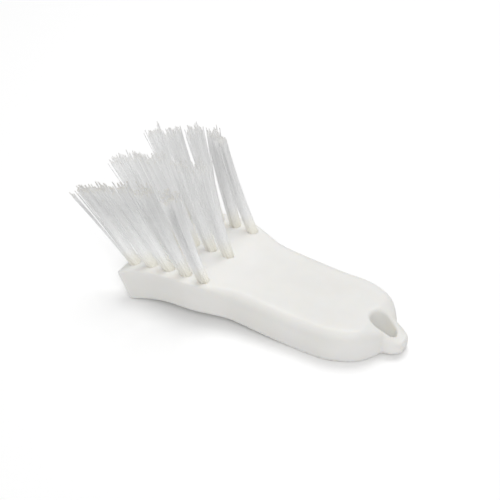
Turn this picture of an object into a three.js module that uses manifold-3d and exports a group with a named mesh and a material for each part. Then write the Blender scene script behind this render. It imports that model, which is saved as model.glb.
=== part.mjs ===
// Blade cleaning brush: one white moulded block with a broad head, a palm handle and a hanging lug,
// and three rows of bristle tufts. Each tuft is folded over a flat wire anchor in a blind hole.
// Millimetres, +Z up, bristles upwards, head towards -X. The brush lies on its back: the lower edge of
// the tip and the flat heel of the handle touch the table. The origin is under the middle of the heel.
// Stations along the block are measured from the lower edge of the tip.
import * as THREE from 'three';
import { mergeVertices } from 'three/addons/utils/BufferGeometryUtils.js';
import Module from 'manifold-3d';

// Block, along its length
const headLength = 31.5;
const waistLength = 27;
const handleLength = 73.5;
const endRoundLength = 28;
const lugReach = 9.2;
const lugEndRound = 8.4;

// Block, across its width
const headWidth = 64;
const tipFlare = 3;
const tipFlareLength = 23;
const handleWidth = 53.5;
const lugWidth = 16.4;
const lugRootWidth = 27;
const lugFillet = 13;
const endRoundPower = 2.1;

// Block, in height
const thickness = 17.4;
const archRise = 4.6;
const archDescent = 68;
const tipUndercut = 1.65;
const lugThickness = 6.8;
const lugLift = 1.4;
const lugLiftLength = 8;
const lugLiftPast = 1.5;
const lugSlopeStart = 9.5;
const lugSlopeLength = 18;

// Edge rounding: crisp at the tip, full on the handle, small on the lug, limited by the section
const lowerRound = 2.2;
const tipUpperRound = 0.8;
const handleUpperRound = 6.5;
const lugUpperRound = 3;
const roundingStart = 30;
const roundingLength = 35;
const mostOfHalfWidth = 0.8;
const mostOfHeightBelow = 0.35;
const mostOfHeightAbove = 0.5;

// Hanging eye: a slot through the sloping end and the lug, wider towards the handle, drawn in below.
// The run is between the centres of its two round ends.
const eyeWidth = 8;
const eyeRootWidth = 10.8;
const eyeRun = 4.8;
const eyeEndWall = 5;
const eyeRim = 2;
const eyeDraft = 0.8;
const eyeScoop = 2;

// Tufts
const tuftColumns = 5;
const tuftPitch = 10.5;
const firstTuftInset = 4.8;
const outerRowInset = 7.3;
const holeDiameter = 5.8;
const holeDepth = 13;
const rootTopDepth = 3.4;
const fitGap = 0.3;

// Bristles: forward lean and sideways splay in degrees, from the first column to the last. Tufts that
// have taken a set have their own change of lean, in degrees, of length and of radius at the tips.
const strandsPerTuft = 25;
const strandRadius = 0.42;
const strandTipRadius = 0.3;
const bundleRadius = 2.5;
const bundleTipRadius = 4.6;
const lengthFirst = 49;
const lengthLast = 57.5;
const lengthScatter = 3;
const scatterStride = 7;
const leanFirst = 31;
const leanLast = 19;
const rows = [
  {
    name: 'near',
    side: -1,
    splayFirst: -9,
    splayLast: -12,
    leanSet: [0, 0, 0, -4, -9],
    lengthSet: [],
    tipSet: [],
  },
  {
    name: 'middle',
    side: 0,
    splayFirst: 0,
    splayLast: 0,
    leanSet: [],
    lengthSet: [0, 0, -1.5, -5.5, -5.5],
    tipSet: [],
  },
  {
    name: 'far',
    side: 1,
    splayFirst: 10,
    splayLast: 1,
    leanSet: [-1.5, -2.7, -5.5, -6, 1.5],
    lengthSet: [0, -1.5, -1, -1.5, -3],
    tipSet: [0, 0, 0, -1.7, -2],
  },
];

// Backing strip that carries the bristles of a row, let into the top of the block
const stripWidth = 6;
const stripDepth = 1.6;
const stripEndMargin = 3.4;
const strandSeat = 0.9;

// Flat wire anchor across the foot of each tuft
const anchorThickness = 0.5;
const anchorHeight = 1.8;
const anchorLift = 1.6;

// Facets and cutting
const arcSteps = 4;
const eyeArcSteps = 12;
const holeSides = 12;
const lugEndSteps = 9;
const leastStep = 0.3;
const cutOverrun = 2;
const rimOverrun = 0.12;
const weldDistance = 1e-4;

const rowSpacing = headWidth / 2 - outerRowInset;
const crown = headLength;
const handleEnd = headLength + waistLength + handleLength;
const lugEnd = handleEnd + lugReach;
const lugCentre = lugEnd - lugEndRound;
const heelStart = crown + archDescent;
const heelEnd = handleEnd + lugLiftPast - lugLiftLength;
const heelCentre = (heelStart + heelEnd) / 2;
const goldenAngle = Math.PI * (3 - Math.sqrt(5));

const wasm = await Module();
wasm.setup();

function toSolid(geometry) {
  const bare = geometry.clone();
  bare.deleteAttribute('normal');
  bare.deleteAttribute('uv');
  const merged = mergeVertices(bare, weldDistance);
  const vertProperties = new Float32Array(merged.attributes.position.array);
  const triVerts = new Uint32Array(merged.index.array);
  return new wasm.Manifold(new wasm.Mesh({ numProp: 3, vertProperties, triVerts }));
}

function toGeometry(solid) {
  const mesh = solid.getMesh();
  const geometry = new THREE.BufferGeometry();
  geometry.setAttribute('position', new THREE.BufferAttribute(new Float32Array(mesh.vertProperties), 3));
  geometry.setIndex(new THREE.BufferAttribute(new Uint32Array(mesh.triVerts), 1));
  geometry.computeVertexNormals();
  return geometry;
}

// A closed skin over rings of equal count, each ring a convex outline in its own plane
function loft(rings) {
  const count = rings[0].length;
  const positions = rings.flat().flatMap((point) => [point.x, point.y, point.z]);
  const index = [];
  for (let ring = 0; ring < rings.length - 1; ring += 1) {
    for (let step = 0; step < count; step += 1) {
      const a = ring * count + step;
      const b = ring * count + ((step + 1) % count);
      index.push(a, b, b + count, a, b + count, a + count);
    }
  }
  const last = (rings.length - 1) * count;
  for (let step = 1; step < count - 1; step += 1) {
    index.push(0, step + 1, step);
    index.push(last, last + step, last + step + 1);
  }
  const geometry = new THREE.BufferGeometry();
  geometry.setAttribute('position', new THREE.Float32BufferAttribute(positions, 3));
  geometry.setIndex(index);
  return geometry;
}

const ease = (from, to, value) => THREE.MathUtils.smoothstep(value, from, to);
const mix = THREE.MathUtils.lerp;
const radians = THREE.MathUtils.degToRad;

function blendMax(a, b, reach) {
  const overlap = Math.max(reach - Math.abs(a - b), 0) / reach;
  return Math.max(a, b) + (overlap * overlap * reach) / 4;
}

// Half the plan width at a station: flared head, waist, handle, rounded end and lug
function halfWidth(station) {
  const flare = tipFlare * Math.max(0, 1 - station / tipFlareLength) ** 2;
  const waist = ease(headLength, headLength + waistLength, station);
  const straight = flare + mix(headWidth, handleWidth, waist) / 2;
  const along = THREE.MathUtils.clamp((station - handleEnd + endRoundLength) / endRoundLength, 0, 1);
  const handle = straight * Math.sqrt(1 - along ** endRoundPower);
  const taper = THREE.MathUtils.clamp((lugCentre - station) / lugEndRound, 0, 1);
  const past = Math.max(station - lugCentre, 0) / lugEndRound;
  const lug = (mix(lugWidth, lugRootWidth, taper) / 2) * Math.sqrt(Math.max(1 - past ** 2, 0));
  return blendMax(handle, lug, lugFillet);
}

// Height of the underside: an arch from the tip over the crown down to the heel, then up to the lug
function underside(station) {
  const lug = lugLift * ease(heelEnd, heelEnd + lugLiftLength, station);
  if (station < crown) {
    return archRise * (1 - ((crown - station) / crown) ** 2);
  }
  return archRise * (1 - ease(crown, heelStart, station)) + lug;
}

// Share of the way from the height of the handle down to that of the lug
function lugSlope(station) {
  const slopeStart = handleEnd - lugSlopeStart;
  return ease(slopeStart, slopeStart + lugSlopeLength, station);
}

function depth(station) {
  return mix(thickness, lugThickness, lugSlope(station));
}

// Lean of a cross-section: square to the arch in the head, upright behind the crown
function tilt(station) {
  const rise = (2 * archRise * Math.max(crown - station, 0)) / crown ** 2;
  return tipUndercut * Math.atan(rise);
}

function place(station, across, height) {
  const lean = tilt(station);
  return new THREE.Vector3(
    station - height * Math.sin(lean),
    across,
    underside(station) + height * Math.cos(lean),
  );
}

function upperRound(station) {
  const full = ease(roundingStart, roundingStart + roundingLength, station);
  const handle = mix(tipUpperRound, handleUpperRound, full);
  const wanted = mix(handle, lugUpperRound, lugSlope(station));
  return Math.min(wanted, halfWidth(station) * mostOfHalfWidth, depth(station) * mostOfHeightAbove);
}

// Height of the top face above the underside, at a place across the block
function topHeight(station, across) {
  const high = upperRound(station);
  const edge = THREE.MathUtils.clamp(Math.abs(across) - halfWidth(station) + high, 0, high);
  return depth(station) - high + Math.sqrt(high ** 2 - edge ** 2);
}

// Rounded rectangle of the block at a station, seen from the handle end, in order round the outline
function blockRing(station) {
  const half = halfWidth(station);
  const height = depth(station);
  const low = Math.min(lowerRound, half * mostOfHalfWidth, height * mostOfHeightBelow);
  const high = upperRound(station);
  const corners = [
    { across: half - low, up: low, radius: low, start: -90 },
    { across: half - high, up: height - high, radius: high, start: 0 },
    { across: high - half, up: height - high, radius: high, start: 90 },
    { across: low - half, up: low, radius: low, start: 180 },
  ];
  const ring = [];
  for (const corner of corners) {
    for (let step = 0; step <= arcSteps; step += 1) {
      const angle = radians(corner.start + (90 * step) / arcSteps);
      const across = corner.across + corner.radius * Math.cos(angle);
      ring.push(place(station, across, corner.up + corner.radius * Math.sin(angle)));
    }
  }
  return ring;
}

function steps(from, to, count) {
  return Array.from({ length: count }, (_, step) => mix(from, to, step / count));
}

const waistEnd = headLength + waistLength;
const endRoundStart = handleEnd - endRoundLength;
const stretches = [
  { from: 0, to: headLength, sections: 10 },
  { from: headLength, to: waistEnd, sections: 8 },
  { from: waistEnd, to: endRoundStart, sections: 5 },
  { from: endRoundStart, to: heelEnd, sections: 9 },
  { from: heelEnd, to: handleEnd, sections: 10 },
  { from: handleEnd, to: lugCentre, sections: 2 },
];
const lugEndAngles = steps(0, Math.PI / 2, lugEndSteps);
const planned = [
  ...stretches.flatMap((stretch) => steps(stretch.from, stretch.to, stretch.sections)),
  ...lugEndAngles.map((angle) => lugCentre + lugEndRound * Math.sin(angle)),
].sort((a, b) => a - b);
const spaced = planned.filter((station, order) => order === 0 || station - planned[order - 1] > leastStep);
const stations = [...spaced.filter((station) => station < lugEnd - leastStep), lugEnd];

// Strip along a row: a bar with the curve of the top, between two stations
function stripBar(centre, halfAcross, from, to, below, above) {
  const inner = stations.filter((station) => station > from + leastStep && station < to - leastStep);
  const rings = [from, ...inner, to].map((station) => [
    place(station, centre - halfAcross, thickness - below),
    place(station, centre + halfAcross, thickness - below),
    place(station, centre + halfAcross, thickness + above),
    place(station, centre - halfAcross, thickness + above),
  ]);
  return toSolid(loft(rings));
}

// Station whose cross-section meets the top face at a given distance along X
function stationOfTop(x) {
  const passes = 30;
  let station = x;
  for (let pass = 0; pass < passes; pass += 1) {
    station = x + thickness * Math.sin(tilt(station));
  }
  return station;
}

const tipTop = place(0, 0, thickness);

// Seat of a tuft: its point on the top face, the run of the face there and the axis of its bristles
function tuftSeat(row, column) {
  const station = stationOfTop(tipTop.x + firstTuftInset + column * tuftPitch);
  const share = column / (tuftColumns - 1);
  const across = row.side * rowSpacing;
  const ahead = place(station + leastStep, across, thickness);
  const behind = place(station - leastStep, across, thickness);
  const lean = radians(mix(leanFirst, leanLast, share) + (row.leanSet[column] ?? 0));
  const splay = radians(mix(row.splayFirst, row.splayLast, share));
  return {
    point: place(station, across, thickness),
    run: ahead.sub(behind).normalize(),
    axis: new THREE.Vector3(-Math.tan(lean), Math.tan(splay), 1).normalize(),
    length: mix(lengthFirst, lengthLast, share) + (row.lengthSet[column] ?? 0),
    tipRadius: bundleTipRadius + (row.tipSet[column] ?? 0),
  };
}

// One three-sided tapering bristle from its seat to its tip, turned by its own angle
function strand(foot, tip, spin) {
  const along = tip.clone().sub(foot).normalize();
  const side = new THREE.Vector3(0, 1, 0).cross(along).normalize();
  const other = along.clone().cross(side);
  const ring = (centre, radius) => [0, 1, 2].map((corner) => {
    const turn = spin + (corner * 2 * Math.PI) / 3;
    const point = centre.clone().addScaledVector(side, radius * Math.cos(turn));
    return point.addScaledVector(other, radius * Math.sin(turn));
  });
  return toSolid(loft([ring(foot, strandRadius), ring(tip, strandTipRadius)]));
}

// A tuft: bristles packed in a spiral that widens evenly towards the tips, so none crosses another
function addTuft(backing, seat) {
  const acrossUnit = new THREE.Vector3(0, 1, 0);
  let solid = backing;
  for (let number = 0; number < strandsPerTuft; number += 1) {
    const reach = Math.sqrt((number + 0.5) / strandsPerTuft);
    const angle = number * goldenAngle;
    const offset = seat.run.clone().multiplyScalar(reach * Math.cos(angle));
    offset.addScaledVector(acrossUnit, reach * Math.sin(angle));
    const trim = lengthScatter * (((number * scatterStride) % strandsPerTuft) / strandsPerTuft - 0.5);
    const foot = seat.point.clone().addScaledVector(offset, bundleRadius);
    foot.addScaledVector(seat.axis, -strandSeat);
    const tip = seat.point.clone().addScaledVector(offset, seat.tipRadius);
    tip.addScaledVector(seat.axis, seat.length + trim);
    solid = solid.add(strand(foot, tip, angle));
  }
  return solid;
}

// Turn that stands a part's own Y axis along the axis of a tuft
function alongAxis(axis) {
  return new THREE.Quaternion().setFromUnitVectors(new THREE.Vector3(0, 1, 0), axis);
}

const rootRadius = holeDiameter / 2 - fitGap;
const rootLength = holeDepth - rootTopDepth - fitGap;

function holeSolid(seat) {
  const length = holeDepth - strandSeat;
  const cutter = new THREE.CylinderGeometry(holeDiameter / 2, holeDiameter / 2, length, holeSides);
  cutter.applyQuaternion(alongAxis(seat.axis));
  const middle = seat.point.clone().addScaledVector(seat.axis, -(holeDepth + strandSeat) / 2);
  cutter.translate(middle.x, middle.y, middle.z);
  return toSolid(cutter);
}

// Folded foot of a tuft, with the window that the anchor passes through
function rootGeometry() {
  const body = new THREE.CylinderGeometry(rootRadius, rootRadius, rootLength, holeSides);
  const window = new THREE.BoxGeometry(
    anchorThickness + 2 * fitGap,
    anchorHeight + 2 * fitGap,
    holeDiameter + 2 * cutOverrun,
  );
  window.translate(0, anchorLift + anchorHeight / 2 - rootLength / 2, 0);
  return toGeometry(toSolid(body).subtract(toSolid(window)));
}

function anchorGeometry() {
  const span = holeDiameter * Math.cos(Math.PI / holeSides) - 2 * fitGap;
  return new THREE.BoxGeometry(anchorThickness, anchorHeight, span);
}

const moulded = new THREE.MeshStandardMaterial({ color: 0xf2f1ec, roughness: 0.5, metalness: 0 });
const filament = new THREE.MeshStandardMaterial({ color: 0xdcdcd8, roughness: 0.4, metalness: 0 });
const steel = new THREE.MeshStandardMaterial({ color: 0xb9bbbd, roughness: 0.35, metalness: 1 });

const brush = new THREE.Group();
brush.position.x = -heelCentre;

function addPiece(name, geometry, material) {
  const piece = new THREE.Mesh(geometry, material.clone());
  piece.name = name;
  brush.add(piece);
  return piece;
}

// Outline of the eye, anticlockwise from above: two round ends and the straight flanks between them
function eyeOutline(spread, rootWidth, run) {
  const endRadius = eyeWidth / 2;
  const wideRadius = rootWidth / 2;
  const endCentre = lugEnd - eyeEndWall - endRadius;
  const rootCentre = lugEnd - eyeEndWall - endRadius - run;
  const flank = Math.acos((wideRadius - endRadius) / run);
  const ends = [
    { centre: endCentre, radius: endRadius + spread, from: -flank, to: flank },
    { centre: rootCentre, radius: wideRadius + spread, from: flank, to: 2 * Math.PI - flank },
  ];
  return ends.flatMap((end) => Array.from({ length: eyeArcSteps + 1 }, (_, step) => {
    const angle = mix(end.from, end.to, step / eyeArcSteps);
    return { station: end.centre + end.radius * Math.cos(angle), across: end.radius * Math.sin(angle) };
  }));
}

// Cutter of the eye: drawn in below the block, with a rounded rim that follows the top face
function eyeSolid() {
  const foot = eyeOutline(-eyeDraft, eyeWidth, eyeRun - eyeScoop);
  const mouth = eyeOutline(eyeRim, eyeRootWidth, eyeRun);
  const rim = Array.from({ length: arcSteps + 1 }, (_, step) => {
    const angle = (Math.PI / 2) * (step / arcSteps);
    const sink = eyeRim * (1 - Math.sin(angle)) - rimOverrun;
    const outline = eyeOutline(eyeRim * (1 - Math.cos(angle)), eyeRootWidth, eyeRun);
    return outline.map((point) => {
      const height = topHeight(point.station, point.across) - sink;
      return place(point.station, point.across, height);
    });
  });
  return toSolid(loft([
    foot.map((point) => new THREE.Vector3(point.station, point.across, -cutOverrun)),
    ...rim,
    mouth.map((point) => new THREE.Vector3(point.station, point.across, thickness + cutOverrun)),
  ]));
}

let block = toSolid(loft(stations.map(blockRing))).subtract(eyeSolid());
for (const row of rows) {
  const seats = Array.from({ length: tuftColumns }, (_, column) => tuftSeat(row, column));
  const across = row.side * rowSpacing;
  const from = stationOfTop(seats[0].point.x - stripEndMargin);
  const to = stationOfTop(seats[tuftColumns - 1].point.x + stripEndMargin);
  const grooveHalf = stripWidth / 2 + fitGap;
  const grooveDepth = stripDepth + fitGap;
  block = block.subtract(stripBar(across, grooveHalf, from - fitGap, to + fitGap, grooveDepth, cutOverrun));
  let bristles = stripBar(across, stripWidth / 2, from, to, stripDepth, 0);
  seats.forEach((seat, column) => {
    block = block.subtract(holeSolid(seat));
    bristles = addTuft(bristles, seat);
    const turn = alongAxis(seat.axis);
    const label = `${row.name}_${column + 1}`;
    const root = addPiece(`tuft_root_${label}`, rootGeometry(), filament);
    root.quaternion.copy(turn);
    root.position.copy(seat.point).addScaledVector(seat.axis, -rootTopDepth - rootLength / 2);
    const anchor = addPiece(`anchor_${label}`, anchorGeometry(), steel);
    anchor.quaternion.copy(turn);
    const anchorDepth = rootTopDepth + rootLength - anchorLift - anchorHeight / 2;
    anchor.position.copy(seat.point).addScaledVector(seat.axis, -anchorDepth);
  });
  addPiece(`bristle_row_${row.name}`, toGeometry(bristles), filament);
}
addPiece('brush_block', toGeometry(block), moulded);

export default brush;
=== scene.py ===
# Blade cleaning brush: moulded white block, three rows of polyester tufts, stainless anchors inside
import math

import bmesh
import bpy
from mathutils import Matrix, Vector


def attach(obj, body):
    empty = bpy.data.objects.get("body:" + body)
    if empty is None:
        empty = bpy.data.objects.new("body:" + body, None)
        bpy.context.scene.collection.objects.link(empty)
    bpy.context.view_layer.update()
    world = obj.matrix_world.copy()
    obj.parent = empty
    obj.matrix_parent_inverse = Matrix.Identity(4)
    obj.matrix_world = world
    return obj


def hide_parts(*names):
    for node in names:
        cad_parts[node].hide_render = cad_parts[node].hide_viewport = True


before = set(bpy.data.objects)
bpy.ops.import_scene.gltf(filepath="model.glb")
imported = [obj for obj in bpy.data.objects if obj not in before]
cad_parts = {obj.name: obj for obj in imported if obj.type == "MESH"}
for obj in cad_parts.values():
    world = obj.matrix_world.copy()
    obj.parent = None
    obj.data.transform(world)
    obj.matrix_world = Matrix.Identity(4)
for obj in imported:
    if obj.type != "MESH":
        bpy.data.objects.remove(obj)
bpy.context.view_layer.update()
mm = 0.001
print("frame loaded:", len(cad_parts), "nodes")


def hexColour(code):
    # sRGB hex to linear, opaque
    parts = [int(code[i:i + 2], 16) / 255 for i in (1, 3, 5)]
    linear = [c / 12.92 if c <= 0.04045 else ((c + 0.055) / 1.055) ** 2.4 for c in parts]
    return (*linear, 1.0)


def addNode(tree, kind, inputs=(), **settings):
    # one node with its settings; an input is a fixed value, or a node or socket to link from
    node = tree.nodes.new(kind)
    for name, value in settings.items():
        setattr(node, name, value)
    for key, value in inputs.items() if isinstance(inputs, dict) else enumerate(inputs):
        if isinstance(value, bpy.types.Node):
            value = next(socket for socket in value.outputs if socket.enabled)
        if isinstance(value, bpy.types.NodeSocket):
            tree.links.new(value, node.inputs[key])
        else:
            node.inputs[key].default_value = value
    return node


def clamp(value):
    return min(max(value, 0.0), 1.0)


def smoothStep(value, low, high):
    t = clamp((value - low) / (high - low))
    return t * t * (3 - 2 * t)


def lerp(a, b, t):
    return a + (b - a) * t


def addObject(name, data):
    thing = bpy.data.objects.new(name, data)
    bpy.context.scene.collection.objects.link(thing)
    return thing


def addPiece(name, mesh, material):
    piece = addObject(name, mesh)
    mesh.materials.clear()
    mesh.materials.append(material)
    return piece


def standBack(thing, location, back):
    # a camera or lamp in its place, looking against the direction that it stands back in
    thing.location = location
    thing.rotation_mode = "QUATERNION"
    thing.rotation_quaternion = (-back).to_track_quat("-Z", "Y")


# Materials

def startMaterial(name):
    material = bpy.data.materials.new(name)
    material.use_nodes = True
    tree = material.node_tree
    shader = tree.nodes["Principled BSDF"]
    return material, tree, shader


def mouldedPolypropylene():
    # moulded polypropylene: milky white, satin, with the fine pebble of a spark-eroded mould
    look = {
        "colour": "#f6f5f2", "shade": "#f1f0ec",
        "cloudSize": 34,                 # mm, soft patches where the melt flowed
        "cloudRange": (0.35, 0.65),      # of the noise, from all shade to all colour
        "scuffSize": 7,                  # mm, faint handling marks in the gloss
        "scuffRange": (0.3, 0.7),        # of the noise, from unmarked to marked
        "roughness": (0.4, 0.54),        # unmarked and marked
        "grainSize": 0.9,                # mm, drawn coarser than the real 0.2 mm pebble so that it shows
        "grainDepth": 0.012,             # mm
        "grainStrength": 0.25,
        "ior": 1.49,
        "milky": 0.6,                    # share of the light that scatters inside
        "milkyDepth": (3.2, 2.9, 2.5),   # mm, how far red, green and blue go in
    }
    material, tree, shader = startMaterial("polypropylene_moulded_white")
    place = addNode(tree, "ShaderNodeTexCoord").outputs["Object"]
    cloud = addNode(tree, "ShaderNodeTexNoise", {"Vector": place, "Scale": 1 / (look["cloudSize"] * mm),
                                                 "Detail": 3.0, "Roughness": 0.55})
    tone = addNode(tree, "ShaderNodeValToRGB", {"Fac": cloud.outputs["Fac"]})
    for stop, position, name in zip(tone.color_ramp.elements, look["cloudRange"], ("shade", "colour")):
        stop.position = position
        stop.color = hexColour(look[name])
    tree.links.new(tone.outputs["Color"], shader.inputs["Base Color"])
    scuff = addNode(tree, "ShaderNodeTexNoise", {"Vector": place, "Scale": 1 / (look["scuffSize"] * mm),
                                                 "Detail": 5.0, "Roughness": 0.65})
    low, high = look["scuffRange"]
    smoothest, roughest = look["roughness"]
    gloss = addNode(tree, "ShaderNodeMapRange", {"Value": scuff.outputs["Fac"],
                                                 "From Min": low, "From Max": high,
                                                 "To Min": smoothest, "To Max": roughest})
    tree.links.new(gloss.outputs["Result"], shader.inputs["Roughness"])
    grain = addNode(tree, "ShaderNodeTexNoise", {"Vector": place, "Scale": 1 / (look["grainSize"] * mm),
                                                 "Detail": 2.0, "Roughness": 0.5})
    bump = addNode(tree, "ShaderNodeBump", {"Height": grain.outputs["Fac"],
                                            "Strength": look["grainStrength"],
                                            "Distance": look["grainDepth"] * mm})
    tree.links.new(bump.outputs["Normal"], shader.inputs["Normal"])
    shader.inputs["IOR"].default_value = look["ior"]
    shader.inputs["Subsurface Weight"].default_value = look["milky"]
    shader.inputs["Subsurface Radius"].default_value = [depth * mm for depth in look["milkyDepth"]]
    shader.inputs["Subsurface Scale"].default_value = 1.0   # the depths count in full
    return material


def polyesterFilament():
    # drawn polyester filament, half clear, with painted light in its colour: cream at its foot as painted
    # bounce light from the block, greying towards the open tip as that painted light falls off, and a dull
    # cut end
    look = {
        # foot: painted bounce light from the block; tip: the grey where that painted light has fallen off
        "foot": "#fcfbf7", "stem": "#fbfbfb", "tip": "#ececec", "cutEnd": "#ebe9e3",
        "between": ((0.2, "stem"), (0.8, "tip"), (0.985, "tip")),   # shares of the free length
        "clear": 0.9,                # how much of the painted greying the filament of highest tone is spared
        "clearRange": (0.1, 0.35),   # share of the free length over which that sets in
        "roughness": (0.32, 0.46),   # at the lowest tone and the highest
        "ior": 1.57,
        "through": 0.6,              # share of the light that a filament scatters on through itself
        "lets": 0.97,                # share of the lamps' light that a clear wall lets past
    }
    material, tree, shader = startMaterial("polyester_filament_translucent")
    along = addNode(tree, "ShaderNodeAttribute", attribute_name="along").outputs["Fac"]
    tone = addNode(tree, "ShaderNodeAttribute", attribute_name="tone").outputs["Fac"]
    # painted light along the filament: cream bounce from the block at the foot, fading to grey towards the
    # tip
    colours = addNode(tree, "ShaderNodeValToRGB", {"Fac": along})
    stops = colours.color_ramp.elements
    stops[0].color = hexColour(look["foot"])
    stops[1].color = hexColour(look["cutEnd"])
    for position, name in look["between"]:
        stops.new(position).color = hexColour(look[name])
    # filaments of higher tone are spared more of the painted greying; tone spreads at random and carries the
    # rows' painted shade and light
    low, high = look["clearRange"]
    spared = addNode(tree, "ShaderNodeMapRange", {"Value": along, "From Min": low, "From Max": high,
                                                  "To Max": look["clear"]})
    spared = addNode(tree, "ShaderNodeMath", (spared, tone), operation="MULTIPLY")
    colour = addNode(tree, "ShaderNodeMix",   # 6, 7 and 2 are the sockets for colours
                     {0: spared, 6: colours.outputs["Color"], 7: hexColour(look["stem"])},
                     data_type="RGBA").outputs[2]
    tree.links.new(colour, shader.inputs["Base Color"])
    lowestTone, highestTone = look["roughness"]
    gloss = addNode(tree, "ShaderNodeMapRange", {"Value": tone, "To Min": lowestTone, "To Max": highestTone})
    tree.links.new(gloss.outputs["Result"], shader.inputs["Roughness"])
    shader.inputs["IOR"].default_value = look["ior"]
    through = addNode(tree, "ShaderNodeBsdfTranslucent", {"Color": colour})
    body = addNode(tree, "ShaderNodeMixShader", (look["through"], shader, through))
    shadow = addNode(tree, "ShaderNodeLightPath").outputs["Is Shadow Ray"]
    lets = addNode(tree, "ShaderNodeMath", (shadow, look["lets"]), operation="MULTIPLY")
    clear = addNode(tree, "ShaderNodeBsdfTransparent")
    whole = addNode(tree, "ShaderNodeMixShader", (lets, body, clear))
    tree.links.new(whole.outputs[0], tree.nodes["Material Output"].inputs["Surface"])
    return material


def drawnStainless():
    # flat drawn stainless wire: bright, with fine marks from the die
    look = {
        "colour": "#c9cacb", "dark": "#b4b6b8",
        "markSize": 0.4,            # mm
        "roughness": (0.22, 0.4),   # where it is dark and where it is bright
    }
    material, tree, shader = startMaterial("stainless_wire_drawn")
    place = addNode(tree, "ShaderNodeTexCoord").outputs["Object"]
    marks = addNode(tree, "ShaderNodeTexNoise", {"Vector": place, "Scale": 1 / (look["markSize"] * mm),
                                                 "Detail": 3.0})
    tone = addNode(tree, "ShaderNodeValToRGB", {"Fac": marks.outputs["Fac"]})
    for stop, name in zip(tone.color_ramp.elements, ("dark", "colour")):
        stop.color = hexColour(look[name])
    tree.links.new(tone.outputs["Color"], shader.inputs["Base Color"])
    smoothest, roughest = look["roughness"]
    rough = addNode(tree, "ShaderNodeMapRange", {"Value": marks.outputs["Fac"],
                                                 "To Min": smoothest, "To Max": roughest})
    tree.links.new(rough.outputs["Result"], shader.inputs["Roughness"])
    shader.inputs["Metallic"].default_value = 1.0
    return material


plastic = mouldedPolypropylene()
filament = polyesterFilament()
stainless = drawnStainless()
print("materials made")


# Moulded block: sections square to an arched back, from the tip to the hanging lug, in mm

block = {
    "headLength": 31.5, "waistLength": 27, "handleLength": 73.5,
    "headWidth": 64, "tipFlare": 3, "tipFlareLength": 23, "handleWidth": 53.5,
    "endRoundLength": 28, "endRoundPower": 2.1,                 # the handle's rounded end
    "thickness": 17.4, "archRise": 4.6, "archDescent": 68,      # the back rises under the head
    "tipUndercut": 1.65,                                        # lean of the tip, times the back's slope
    "lugReach": 9.2, "lugEndRound": 8.4, "lugWidth": 16.4, "lugRootWidth": 27, "lugFillet": 13,
    "lugThickness": 6.8, "lugSlopeStart": 9.5, "lugSlopeLength": 18,
    "lugLift": 1.4, "lugLiftLength": 8, "lugLiftPast": 1.5,     # the lug stays clear of the floor
    "lowerRound": 2.2, "tipUpperRound": 0.8, "handleUpperRound": 6.5, "lugUpperRound": 3,
    "roundingStart": 30, "roundingLength": 35,
    "roundOfWidth": 0.8, "upperOfDepth": 0.5, "lowerOfDepth": 0.35,   # the most that a round takes up
    "eyeWidth": 8, "eyeRootWidth": 10.8, "eyeRun": 4.8, "eyeEndWall": 5,
    "eyeRim": 2, "eyeDraft": 0.8, "eyeScoop": 2, "cutOverrun": 2,
    "stations": 150, "lugEndStep": 5, "arcSteps": 10, "eyeArcSteps": 24, "seatPasses": 30,
    "voxel": 0.57, "softening": 5, "softenFactor": 0.5,         # rounds the rims of the cuts
}
handleEnd = block["headLength"] + block["waistLength"] + block["handleLength"]
lugEnd = handleEnd + block["lugReach"]
lugCentre = lugEnd - block["lugEndRound"]
crown = block["headLength"]
heelStart = crown + block["archDescent"]
heelEnd = handleEnd + block["lugLiftPast"] - block["lugLiftLength"]
heelCentre = (heelStart + heelEnd) / 2


def halfWidth(station):
    flare = block["tipFlare"] * max(0.0, 1 - station / block["tipFlareLength"]) ** 2
    waist = smoothStep(station, block["headLength"], block["headLength"] + block["waistLength"])
    straight = flare + lerp(block["headWidth"], block["handleWidth"], waist) / 2
    along = clamp((station - handleEnd + block["endRoundLength"]) / block["endRoundLength"])
    handle = straight * math.sqrt(1 - along ** block["endRoundPower"])
    taper = clamp((lugCentre - station) / block["lugEndRound"])
    past = max(station - lugCentre, 0.0) / block["lugEndRound"]
    lug = lerp(block["lugWidth"], block["lugRootWidth"], taper) / 2 * math.sqrt(max(1 - past ** 2, 0.0))
    # the wider of the two, with a fillet where they meet
    overlap = max(block["lugFillet"] - abs(handle - lug), 0.0) / block["lugFillet"]
    return max(handle, lug) + overlap ** 2 * block["lugFillet"] / 4


def underside(station):
    if station < crown:
        return block["archRise"] * (1 - ((crown - station) / crown) ** 2)
    lift = block["lugLift"] * smoothStep(station, heelEnd, heelEnd + block["lugLiftLength"])
    return block["archRise"] * (1 - smoothStep(station, crown, heelStart)) + lift


def lugSlope(station):
    start = handleEnd - block["lugSlopeStart"]
    return smoothStep(station, start, start + block["lugSlopeLength"])


def depthAt(station):
    return lerp(block["thickness"], block["lugThickness"], lugSlope(station))


def tiltAt(station):
    return block["tipUndercut"] * math.atan(2 * block["archRise"] * max(crown - station, 0.0) / crown ** 2)


def blockPoint(station, across, height):
    lean = tiltAt(station)
    x = station - height * math.sin(lean) - heelCentre
    return Vector((x, across, underside(station) + height * math.cos(lean))) * mm


def upperRound(station):
    full = smoothStep(station, block["roundingStart"], block["roundingStart"] + block["roundingLength"])
    wanted = lerp(block["tipUpperRound"], block["handleUpperRound"], full)
    wanted = lerp(wanted, block["lugUpperRound"], lugSlope(station))
    most = min(halfWidth(station) * block["roundOfWidth"], depthAt(station) * block["upperOfDepth"])
    return min(wanted, most)


def topHeight(station, across):
    # height of the top face above the underside
    high = upperRound(station)
    edge = min(max(abs(across) - halfWidth(station) + high, 0.0), high)
    return depthAt(station) - high + math.sqrt(high ** 2 - edge ** 2)


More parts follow.
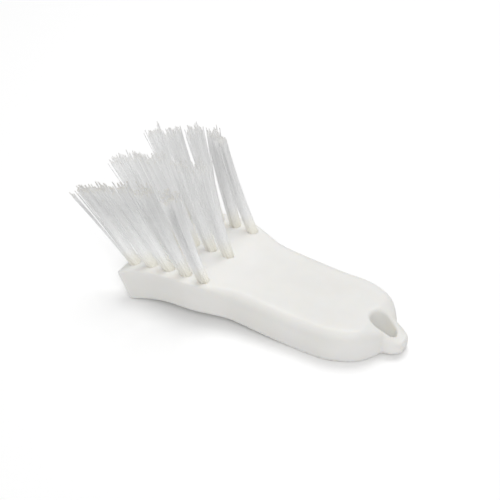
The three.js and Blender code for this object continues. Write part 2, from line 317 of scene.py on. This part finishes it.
def blockRing(station):
    half, height = halfWidth(station), depthAt(station)
    low = min(block["lowerRound"], half * block["roundOfWidth"], height * block["lowerOfDepth"])
    high = upperRound(station)
    corners = [(half - low, low, low, -90), (half - high, height - high, high, 0),
               (high - half, height - high, high, 90), (low - half, low, low, 180)]
    ring = []
    for across, up, radius, start in corners:
        for step in range(block["arcSteps"] + 1):
            angle = math.radians(start + 90 * step / block["arcSteps"])
            y, z = across + radius * math.cos(angle), up + radius * math.sin(angle)
            ring.append(blockPoint(station, y, z))
    return ring


def topPoint(x, across):
    # the station and point of the top face at a distance x behind the tip's upper edge
    tipX = -block["thickness"] * math.sin(tiltAt(0))
    station = tipX + x
    for _ in range(block["seatPasses"]):
        station = tipX + x + block["thickness"] * math.sin(tiltAt(station))
    return station, blockPoint(station, across, block["thickness"])


# Tufts: where each one leaves the top face and how it leans, in mm and degrees

tufts = {
    "columns": 5, "pitch": 10.5, "firstInset": 4.8, "rowSpacing": 24.7,
    "lengthFirst": 49, "lengthLast": 57.5, "leanFirst": 31, "leanLast": 19,
    "bowFirst": -2.4, "bowLast": 5.2,                          # curve of a tuft towards the row's end
    "holeDiameter": 5.3, "holeDepth": 13, "holeOverrun": 3,    # the hole grips the bundle
    "holeSides": 40,
    "runReach": 0.5,                                           # each way, to find how the face runs
}

# each row: its side, the splay of its first and last tuft, and the range of tone its filaments are
# drawn from, which sets them apart at random and also paints the near row darker as painted shade and the
# middle and far rows lighter as painted light; then for each tuft the radius at its tips and how far its
# locks lean aside, in mm, and the set that it has taken, in degrees of lean and mm of length
rows = {
    "near": {"side": -1, "splay": (-9, -12), "seed": 1, "tone": (0, 0.4),
             "fan": (5, 5, 5, 5, 5), "gather": (6.5, 4.4, 4.4, 4.4, 4.4),
             "leanSet": (0, 0, 0, -4, -9), "lengthSet": (0, 0, 0, 0, 0)},
    "middle": {"side": 0, "splay": (0, 0), "seed": 18, "tone": (0.3, 1),
               "fan": (4.8, 5.2, 5.2, 5.2, 5), "gather": (6.5, 3.6, 3.6, 3.6, 3.6),
               "leanSet": (0, 0, 0, 0, 0), "lengthSet": (0, 0, -1.5, -5.5, -5.5)},
    "far": {"side": 1, "splay": (10, 1), "seed": 4, "tone": (0.4, 1),
            "fan": (4.7, 4.7, 4.6, 2.9, 2.7), "gather": (2.8, 2.8, 2.8, 2.8, 2.8),
            "leanSet": (-1.5, -2.7, -5.5, -6, 1.5), "lengthSet": (0, -1.5, -1, -1.5, -3)},
}


def tuftSeats(row):
    across = row["side"] * tufts["rowSpacing"]
    seats = []
    for column in range(tufts["columns"]):
        share = column / (tufts["columns"] - 1)
        station, point = topPoint(tufts["firstInset"] + column * tufts["pitch"], across)
        ahead = blockPoint(station + tufts["runReach"], across, block["thickness"])
        behind = blockPoint(station - tufts["runReach"], across, block["thickness"])
        lean = math.radians(lerp(tufts["leanFirst"], tufts["leanLast"], share) + row["leanSet"][column])
        splay = math.radians(lerp(*row["splay"], share))
        length = lerp(tufts["lengthFirst"], tufts["lengthLast"], share) + row["lengthSet"][column]
        seats.append({
            "point": point,
            "run": (ahead - behind).normalized(),
            "axis": Vector((-math.tan(lean), math.tan(splay), 1)).normalized(),
            "bow": Vector((lerp(tufts["bowFirst"], tufts["bowLast"], share) * mm, 0, 0)),
            "length": length * mm,
            "fan": row["fan"][column] * mm,
            "gather": row["gather"][column] * mm,
        })
    return seats


seats = {name: tuftSeats(row) for name, row in rows.items()}


def skinRings(rings):
    # closed quad skin over rings of equal count
    mesh = bmesh.new()
    loops = [[mesh.verts.new(point) for point in ring] for ring in rings]
    count = len(rings[0])
    for low, high in zip(loops, loops[1:]):
        for step in range(count):
            after = (step + 1) % count
            mesh.faces.new((low[step], low[after], high[after], high[step]))
    mesh.faces.new(list(reversed(loops[0])))
    mesh.faces.new(loops[-1])
    bmesh.ops.recalc_face_normals(mesh, faces=mesh.faces)
    data = bpy.data.meshes.new("skin")
    mesh.to_mesh(data)
    mesh.free()
    return data


def holeCutter(seat):
    # a cylinder along the tuft's lean, from the bottom of its hole to clear of the face
    turn = Vector((0, 0, 1)).rotation_difference(seat["axis"])
    radius = tufts["holeDiameter"] / 2
    angles = [2 * math.pi * step / tufts["holeSides"] for step in range(tufts["holeSides"])]
    rings = []
    for height in (-tufts["holeDepth"], tufts["holeOverrun"]):
        ring = [Vector((radius * math.cos(angle), radius * math.sin(angle), height)) * mm for angle in angles]
        rings.append([seat["point"] + turn @ local for local in ring])
    return skinRings(rings)


def eyeOutline(spread, rootWidth, run):
    # slot with round ends, the one towards the handle of its own width, spread outwards all round
    root, end = rootWidth / 2, block["eyeWidth"] / 2
    endCentre = lugEnd - block["eyeEndWall"] - end
    flank = math.acos((root - end) / run)
    arcs = ((-flank, flank, endCentre, end), (flank, 2 * math.pi - flank, endCentre - run, root))
    outline = []
    for start, stop, centre, radius in arcs:
        for step in range(block["eyeArcSteps"] + 1):
            angle = lerp(start, stop, step / block["eyeArcSteps"])
            reach = radius + spread
            outline.append((centre + reach * math.cos(angle), reach * math.sin(angle)))
    return outline


def eyeCutter():
    # down through the slope and the lug, drawn in below, with a rounded rim that follows the top face
    rim, root, run = block["eyeRim"], block["eyeRootWidth"], block["eyeRun"]
    foot = eyeOutline(-block["eyeDraft"], block["eyeWidth"], run - block["eyeScoop"])
    rings = [[Vector((s - heelCentre, y, -block["cutOverrun"])) * mm for s, y in foot]]
    for step in range(block["arcSteps"] + 1):
        angle = math.pi / 2 * step / block["arcSteps"]
        sink, spread = rim * (1 - math.sin(angle)), rim * (1 - math.cos(angle))
        rings.append([blockPoint(s, y, topHeight(s, y) - sink) for s, y in eyeOutline(spread, root, run)])
    above = block["thickness"] + block["cutOverrun"]
    rings.append([Vector((s - heelCentre, y, above)) * mm for s, y in eyeOutline(rim, root, run)])
    return skinRings(rings)


def cutFrom(target, cutters):
    # all cutters joined into one mesh and taken away in a single exact boolean
    joined = bmesh.new()
    for cutter in cutters:
        joined.from_mesh(cutter)
    data = bpy.data.meshes.new("cutters")
    joined.to_mesh(data)
    joined.free()
    tool = addObject("cutters", data)
    cut = target.modifiers.new("cut", "BOOLEAN")
    cut.operation = "DIFFERENCE"
    cut.solver = "EXACT"
    cut.use_self = True
    cut.object = tool
    return tool


def settle(piece):
    # evaluated result becomes the plain mesh of the piece
    graph = bpy.context.evaluated_depsgraph_get()
    graph.update()
    mesh = bpy.data.meshes.new_from_object(piece.evaluated_get(graph))
    piece.modifiers.clear()
    piece.data = mesh


def makeBlock():
    stations = [lugEnd * step / block["stations"] for step in range(block["stations"])]
    stations = [station for station in stations if station < lugCentre]
    turns = range(0, 90, block["lugEndStep"])   # closer sections round the end of the lug
    ends = [lugCentre + block["lugEndRound"] * math.sin(math.radians(turn)) for turn in turns]
    rings = [blockRing(station) for station in stations + ends + [lugEnd]]
    piece = addPiece("moulded_block", skinRings(rings), plastic)
    holes = [holeCutter(seat) for row in seats.values() for seat in row]
    tool = cutFrom(piece, [eyeCutter()] + holes)
    remesh = piece.modifiers.new("remesh", "REMESH")
    remesh.mode = "VOXEL"
    remesh.voxel_size = block["voxel"] * mm
    soften = piece.modifiers.new("soften", "SMOOTH")
    soften.factor = block["softenFactor"]
    soften.iterations = block["softening"]
    settle(piece)
    bpy.data.objects.remove(tool)
    piece.data.polygons.foreach_set("use_smooth", [True] * len(piece.data.polygons))
    return piece


mouldedBlock = makeBlock()
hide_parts("brush_block")
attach(mouldedBlock, "root")
print("moulded block:", len(mouldedBlock.data.polygons), "faces")


# Bristles: one node tree grows every tuft of a row from its seats

bristles = {
    "strands": 66,           # filaments standing in each hole
    "diameter": 0.56,        # mm
    "bundle": 2.9,           # mm, radius of the bundle in its hole
    "rootDepth": 9,          # mm below the face, just above the anchor
    "opening": 1.3,          # power by which a tuft opens, more than 1 for a trumpet
    "scatter": 6,            # mm, uneven trimming of the tips
    "trim": 0.28,            # share of that which a filament has by itself, either way
    "clump": 3.0,            # mm, size of the locks that stand together
    "stray": 3.4,            # mm, how far a loose filament wanders from its line
    "strayLeast": 0.15,      # share of that for a filament that keeps to its tuft
    "strayMost": 1.6,        # and what the loosest adds
    "strayRarity": 14,       # the higher, the fewer loose ones
    "bend": 0.6,             # mm, own curve of a filament over its length
    "twist": 0.3,            # radians, out of the even spiral, either way
    "points": 9,             # points along a filament
    "sides": 6,
}

# what a seat gives to its filaments, and what each filament works out for itself
seatCarries = {"FLOAT_VECTOR": ("axis", "run", "bow"), "FLOAT": ("length", "fan", "gather")}
strandCarries = {"FLOAT_VECTOR": ("offset", "seat", "wander", "curl"), "FLOAT": ("standing",)}


def plantFilaments(tree, given, stored):
    # one point for each filament, with all that it carries
    index = addNode(tree, "GeometryNodeInputIndex")
    chance = {}   # one random number for each filament and use
    draws = (("twist", -bristles["twist"], bristles["twist"]),
             ("leanX", -1, 1), ("leanY", -1, 1), ("loose", 0, 1), ("bendX", -1, 1), ("bendY", -1, 1),
             ("trim", -bristles["trim"], bristles["trim"]),
             ("tone", given["Lowest Tone"], given["Highest Tone"]))
    for step, (name, low, high) in enumerate(draws):
        seed = addNode(tree, "ShaderNodeMath", (given["Seed"], step + 1), operation="ADD")
        chance[name] = addNode(tree, "FunctionNodeRandomValue",   # 2 and 3 are the limits of a float
                               {2: low, 3: high, "ID": index, "Seed": seed})

    # the filaments of a seat are packed in a sunflower spiral
    copies = addNode(tree, "GeometryNodeDuplicateElements",
                     {"Geometry": given["Geometry"], "Amount": given["Strands"]}, domain="POINT")
    order = copies.outputs["Duplicate Index"]
    halfStep = 0.5   # keeps the first filament off the centre
    share = addNode(tree, "ShaderNodeMath", (order, halfStep), operation="ADD")
    share = addNode(tree, "ShaderNodeMath", (share, given["Strands"]), operation="DIVIDE")
    reach = addNode(tree, "ShaderNodeMath", (share,), operation="SQRT")
    goldenTurn = math.pi * (3 - math.sqrt(5))
    angle = addNode(tree, "ShaderNodeMath", (order, goldenTurn, chance["twist"]), operation="MULTIPLY_ADD")
    cosine = addNode(tree, "ShaderNodeMath", (angle,), operation="COSINE")
    cosine = addNode(tree, "ShaderNodeMath", (cosine, reach), operation="MULTIPLY")
    sine = addNode(tree, "ShaderNodeMath", (angle,), operation="SINE")
    sine = addNode(tree, "ShaderNodeMath", (sine, reach), operation="MULTIPLY")
    across = addNode(tree, "ShaderNodeCombineXYZ", {"Y": sine})
    offset = addNode(tree, "ShaderNodeVectorMath", (stored["run"], cosine, across),
                     operation="MULTIPLY_ADD")

    # locks of neighbours lean and are trimmed alike
    tipPlace = addNode(tree, "ShaderNodeVectorMath", (stored["offset"], stored["fan"], stored["seat"]),
                       operation="MULTIPLY_ADD")
    lockPlace = addNode(tree, "ShaderNodeVectorMath", (tipPlace, given["Clump"]), operation="DIVIDE")
    lockPlace = addNode(tree, "ShaderNodeVectorMath", (lockPlace, given["Seed"]), operation="ADD")
    lock = addNode(tree, "ShaderNodeTexNoise", {"Vector": lockPlace, "Scale": 1.0, "Detail": 0.0})
    noiseMiddle = 0.5
    aside = (2.0, 2.0, 0.0)   # the noise then runs from -1 to 1, along and across but not up
    lockLean = addNode(tree, "ShaderNodeVectorMath", (lock.outputs["Color"], (noiseMiddle,) * 3),
                       operation="SUBTRACT")
    lockLean = addNode(tree, "ShaderNodeVectorMath", (lockLean, aside), operation="MULTIPLY")
    uneven = addNode(tree, "ShaderNodeMath", (lock.outputs["Fac"], noiseMiddle), operation="SUBTRACT")
    uneven = addNode(tree, "ShaderNodeMath", (uneven, chance["trim"]), operation="ADD")
    standing = addNode(tree, "ShaderNodeMath", (uneven, given["Scatter"], stored["length"]),
                       operation="MULTIPLY_ADD")

    # every filament wanders a little by itself, and a few of them far
    loose = addNode(tree, "ShaderNodeMath", (chance["loose"], bristles["strayRarity"]), operation="POWER")
    loose = addNode(tree, "ShaderNodeMath", (loose, bristles["strayMost"], bristles["strayLeast"]),
                    operation="MULTIPLY_ADD")
    loose = addNode(tree, "ShaderNodeMath", (loose, given["Stray"]), operation="MULTIPLY")
    ownLean = addNode(tree, "ShaderNodeCombineXYZ", (chance["leanX"], chance["leanY"]))
    ownLean = addNode(tree, "ShaderNodeVectorMath", {0: ownLean, "Scale": loose}, operation="SCALE")
    wander = addNode(tree, "ShaderNodeVectorMath", (lockLean, stored["gather"], ownLean),
                     operation="MULTIPLY_ADD")
    ownBend = addNode(tree, "ShaderNodeCombineXYZ", (chance["bendX"], chance["bendY"]))
    curl = addNode(tree, "ShaderNodeVectorMath", (ownBend, given["Bend"], stored["bow"]),
                   operation="MULTIPLY_ADD")

    points = copies
    position = addNode(tree, "GeometryNodeInputPosition")
    for name, kind, value in (("offset", "FLOAT_VECTOR", offset), ("seat", "FLOAT_VECTOR", position),
                              ("wander", "FLOAT_VECTOR", wander), ("curl", "FLOAT_VECTOR", curl),
                              ("standing", "FLOAT", standing), ("tone", "FLOAT", chance["tone"])):
        points = addNode(tree, "GeometryNodeStoreNamedAttribute",
                         {"Geometry": points, "Name": name, "Value": value},
                         data_type=kind, domain="POINT")
    return points


def layFilaments(tree, given, stored, points):
    # a short line of points on each, then every point is put in its place along the filament
    line = addNode(tree, "GeometryNodeCurvePrimitiveLine", {"End": (0, 0, mm)})
    rod = addNode(tree, "GeometryNodeResampleCurve", {"Curve": line, "Count": given["Points"]})
    spread = addNode(tree, "GeometryNodeInstanceOnPoints", {"Points": points, "Instance": rod})
    curves = addNode(tree, "GeometryNodeRealizeInstances", {"Geometry": spread})
    travel = addNode(tree, "GeometryNodeSplineParameter").outputs["Factor"]
    height = addNode(tree, "ShaderNodeMath", (stored["standing"], given["Root Depth"]), operation="ADD")
    height = addNode(tree, "ShaderNodeMath", (height, travel), operation="MULTIPLY")
    height = addNode(tree, "ShaderNodeMath", (height, given["Root Depth"]), operation="SUBTRACT")
    free = addNode(tree, "ShaderNodeMath", (height, stored["standing"]), operation="DIVIDE")
    free = addNode(tree, "ShaderNodeMath", (free, 0.0), operation="MAXIMUM")
    opening = addNode(tree, "ShaderNodeMath", (free, bristles["opening"]), operation="POWER")
    room = addNode(tree, "ShaderNodeMath", (stored["fan"], given["Bundle"]), operation="SUBTRACT")
    width = addNode(tree, "ShaderNodeMath", (opening, room, given["Bundle"]), operation="MULTIPLY_ADD")
    bow = addNode(tree, "ShaderNodeMath", (free, -1.0), operation="ADD")   # none at the foot or the tip
    bow = addNode(tree, "ShaderNodeMath", (bow, free), operation="MULTIPLY")
    place = stored["seat"]
    for way, factor in (("offset", width), ("axis", height), ("wander", free), ("curl", bow)):
        place = addNode(tree, "ShaderNodeVectorMath", (stored[way], factor, place),
                        operation="MULTIPLY_ADD")
    curves = addNode(tree, "GeometryNodeStoreNamedAttribute",
                     {"Geometry": curves, "Name": "along", "Value": free},
                     data_type="FLOAT", domain="POINT")
    return addNode(tree, "GeometryNodeSetPosition", {"Geometry": curves, "Position": place})


def bristleTree():
    tree = bpy.data.node_groups.new("bristle_tufts", "GeometryNodeTree")
    face = tree.interface
    face.new_socket("Geometry", in_out="INPUT", socket_type="NodeSocketGeometry")
    for name in ("Strands", "Points", "Sides", "Seed"):
        face.new_socket(name, in_out="INPUT", socket_type="NodeSocketInt")
    for name in ("Radius", "Bundle", "Root Depth", "Scatter", "Clump", "Stray", "Bend",
                 "Lowest Tone", "Highest Tone"):
        face.new_socket(name, in_out="INPUT", socket_type="NodeSocketFloat")
    face.new_socket("Material", in_out="INPUT", socket_type="NodeSocketMaterial")
    face.new_socket("Geometry", in_out="OUTPUT", socket_type="NodeSocketGeometry")
    given = addNode(tree, "NodeGroupInput").outputs
    stored = {}   # what a filament carries with it
    for carries in (seatCarries, strandCarries):
        for kind, names in carries.items():
            for name in names:
                stored[name] = addNode(tree, "GeometryNodeInputNamedAttribute", {"Name": name},
                                       data_type=kind)
    points = plantFilaments(tree, given, stored)
    curves = layFilaments(tree, given, stored, points)
    ring = addNode(tree, "GeometryNodeCurvePrimitiveCircle",
                   {"Resolution": given["Sides"], "Radius": given["Radius"]}, mode="RADIUS")
    tubes = addNode(tree, "GeometryNodeCurveToMesh",
                    {"Curve": curves, "Profile Curve": ring, "Fill Caps": True})
    smooth = addNode(tree, "GeometryNodeSetShadeSmooth", {"Geometry": tubes})
    real = addNode(tree, "GeometryNodeRealizeInstances", {"Geometry": smooth})
    done = addNode(tree, "GeometryNodeSetMaterial", {"Geometry": real, "Material": given["Material"]})
    addNode(tree, "NodeGroupOutput", (done,))
    return tree


def seatMesh(name, row):
    # one vertex for each tuft, carrying its lean, run, curve, length, fan and gather
    data = bpy.data.meshes.new(name)
    data.from_pydata([seat["point"] for seat in row], [], [])
    for key in seatCarries["FLOAT_VECTOR"]:
        layer = data.attributes.new(key, "FLOAT_VECTOR", "POINT")
        layer.data.foreach_set("vector", [c for seat in row for c in seat[key]])
    for key in seatCarries["FLOAT"]:
        layer = data.attributes.new(key, "FLOAT", "POINT")
        layer.data.foreach_set("value", [seat[key] for seat in row])
    return data


def growRow(tree, rowName):
    piece = addPiece("bristles_" + rowName, seatMesh("seats_" + rowName, seats[rowName]), filament)
    grow = piece.modifiers.new("grow", "NODES")
    grow.node_group = tree
    # the row's tone range: random spread, plus painted shade on the near row and painted light on the middle
    # and far rows
    lowestTone, highestTone = rows[rowName]["tone"]
    values = {
        "Strands": bristles["strands"], "Points": bristles["points"], "Sides": bristles["sides"],
        "Seed": rows[rowName]["seed"], "Lowest Tone": lowestTone, "Highest Tone": highestTone,
        "Radius": bristles["diameter"] / 2 * mm, "Bundle": bristles["bundle"] * mm,
        "Root Depth": bristles["rootDepth"] * mm, "Scatter": bristles["scatter"] * mm,
        "Clump": bristles["clump"] * mm, "Stray": bristles["stray"] * mm, "Bend": bristles["bend"] * mm,
        "Material": filament,
    }
    for item in tree.interface.items_tree:
        if item.in_out == "INPUT" and item.name in values:
            grow[item.identifier] = values[item.name]
    settle(piece)
    # only along and tone are used by the material
    for carries in (seatCarries, strandCarries):
        for name in carries["FLOAT_VECTOR"] + carries["FLOAT"]:
            piece.data.attributes.remove(piece.data.attributes[name])
    return piece


bristleNodes = bristleTree()
for rowName in rows:
    tuftRow = growRow(bristleNodes, rowName)
    roots = [f"tuft_root_{rowName}_{column + 1}" for column in range(tufts["columns"])]
    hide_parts("bristle_row_" + rowName, *roots)
    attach(tuftRow, "root")
    print("bristles", rowName, len(tuftRow.data.polygons), "faces")


# Anchors stay as the solids they are, in drawn stainless

for name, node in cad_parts.items():
    if name.startswith("anchor_"):
        node.data.materials.clear()
        node.data.materials.append(stainless)
print("anchors dressed")


# Camera at the photograph's angle

camera = {
    "azimuth": 30.32, "elevation": 36.97, "distance": 719.9,     # degrees, mm
    "aim": (-45, 0, 12), "aimRight": -13.49, "aimUp": 19.02,     # mm
    "pixelsPerMm": 1.936, "frame": 500,                          # at the aim; pixels across
    "sensor": 36, "clip": (0.01, 20),                            # mm; m
}


def makeCamera():
    turn, rise = math.radians(camera["azimuth"]), math.radians(camera["elevation"])
    right = Vector((math.cos(turn), math.sin(turn), 0))
    back = Vector((math.sin(turn) * math.cos(rise), -math.cos(turn) * math.cos(rise), math.sin(rise)))
    up = back.cross(right)
    target = Vector(camera["aim"]) + right * camera["aimRight"] + up * camera["aimUp"]
    data = bpy.data.cameras.new("photo_camera")
    data.sensor_width = camera["sensor"]
    data.lens = camera["pixelsPerMm"] * camera["distance"] / camera["frame"] * data.sensor_width
    data.clip_start, data.clip_end = camera["clip"]
    eye = addObject("photo_camera", data)
    standBack(eye, (target + back * camera["distance"]) * mm, back)
    bpy.context.scene.camera = eye


makeCamera()
print("camera placed")


# Floor, lamps and world

stage = {
    "floorSize": 6.0,            # m
    "floorColour": "#f6f6f6",
    "floorSeen": 1.14,           # floor brightness to the camera, so that it reads as white
    "worldColour": "#ffffff", "worldStrength": 0.4,
    "lampAim": (-45, 0, 15),     # mm
}
lamps = {   # watts, and metres for the size and for the distance from the aim
    "key": {"power": 4.75, "size": 0.7, "from": (-0.15, 0.4, 1.0), "distance": 1.1},
    "fill": {"power": 5.4, "size": 1.0, "from": (0.45, -0.7, 0.8), "distance": 1.4},
}


def makeFloor():
    half = stage["floorSize"] / 2
    corners = [(-half, -half, 0), (half, -half, 0), (half, half, 0), (-half, half, 0)]
    data = bpy.data.meshes.new("floor")
    data.from_pydata(corners, [], [(0, 1, 2, 3)])
    material = bpy.data.materials.new("studio_floor_pale")
    material.use_nodes = True
    tree = material.node_tree
    tree.nodes.clear()
    rays = addNode(tree, "ShaderNodeLightPath").outputs
    seen = rays["Is Camera Ray"]
    for ray in ("Is Glossy Ray", "Is Transmission Ray"):
        seen = addNode(tree, "ShaderNodeMath", (seen, rays[ray]), operation="MAXIMUM")
    plain = addNode(tree, "ShaderNodeBsdfDiffuse", {"Color": hexColour(stage["floorColour"])})
    bright = addNode(tree, "ShaderNodeBsdfDiffuse", {"Color": (stage["floorSeen"],) * 3 + (1.0,)})
    mixed = addNode(tree, "ShaderNodeMixShader", (seen, plain, bright))
    addNode(tree, "ShaderNodeOutputMaterial", (mixed,))
    addPiece("floor", data, material)


def makeLamp(name, lamp):
    data = bpy.data.lights.new(name, "AREA")
    data.shape = "DISK"
    data.energy = lamp["power"]
    data.size = lamp["size"]
    back = Vector(lamp["from"]).normalized()
    standBack(addObject(name, data), Vector(stage["lampAim"]) * mm + back * lamp["distance"], back)


def makeWorld():
    world = bpy.data.worlds.new("studio_world")
    world.use_nodes = True
    background = world.node_tree.nodes["Background"]
    background.inputs["Color"].default_value = hexColour(stage["worldColour"])
    background.inputs["Strength"].default_value = stage["worldStrength"]
    bpy.context.scene.world = world


makeFloor()
for name, lamp in lamps.items():
    makeLamp(name, lamp)
makeWorld()
bpy.context.scene.view_settings.view_transform = "Standard"
print("stage set")
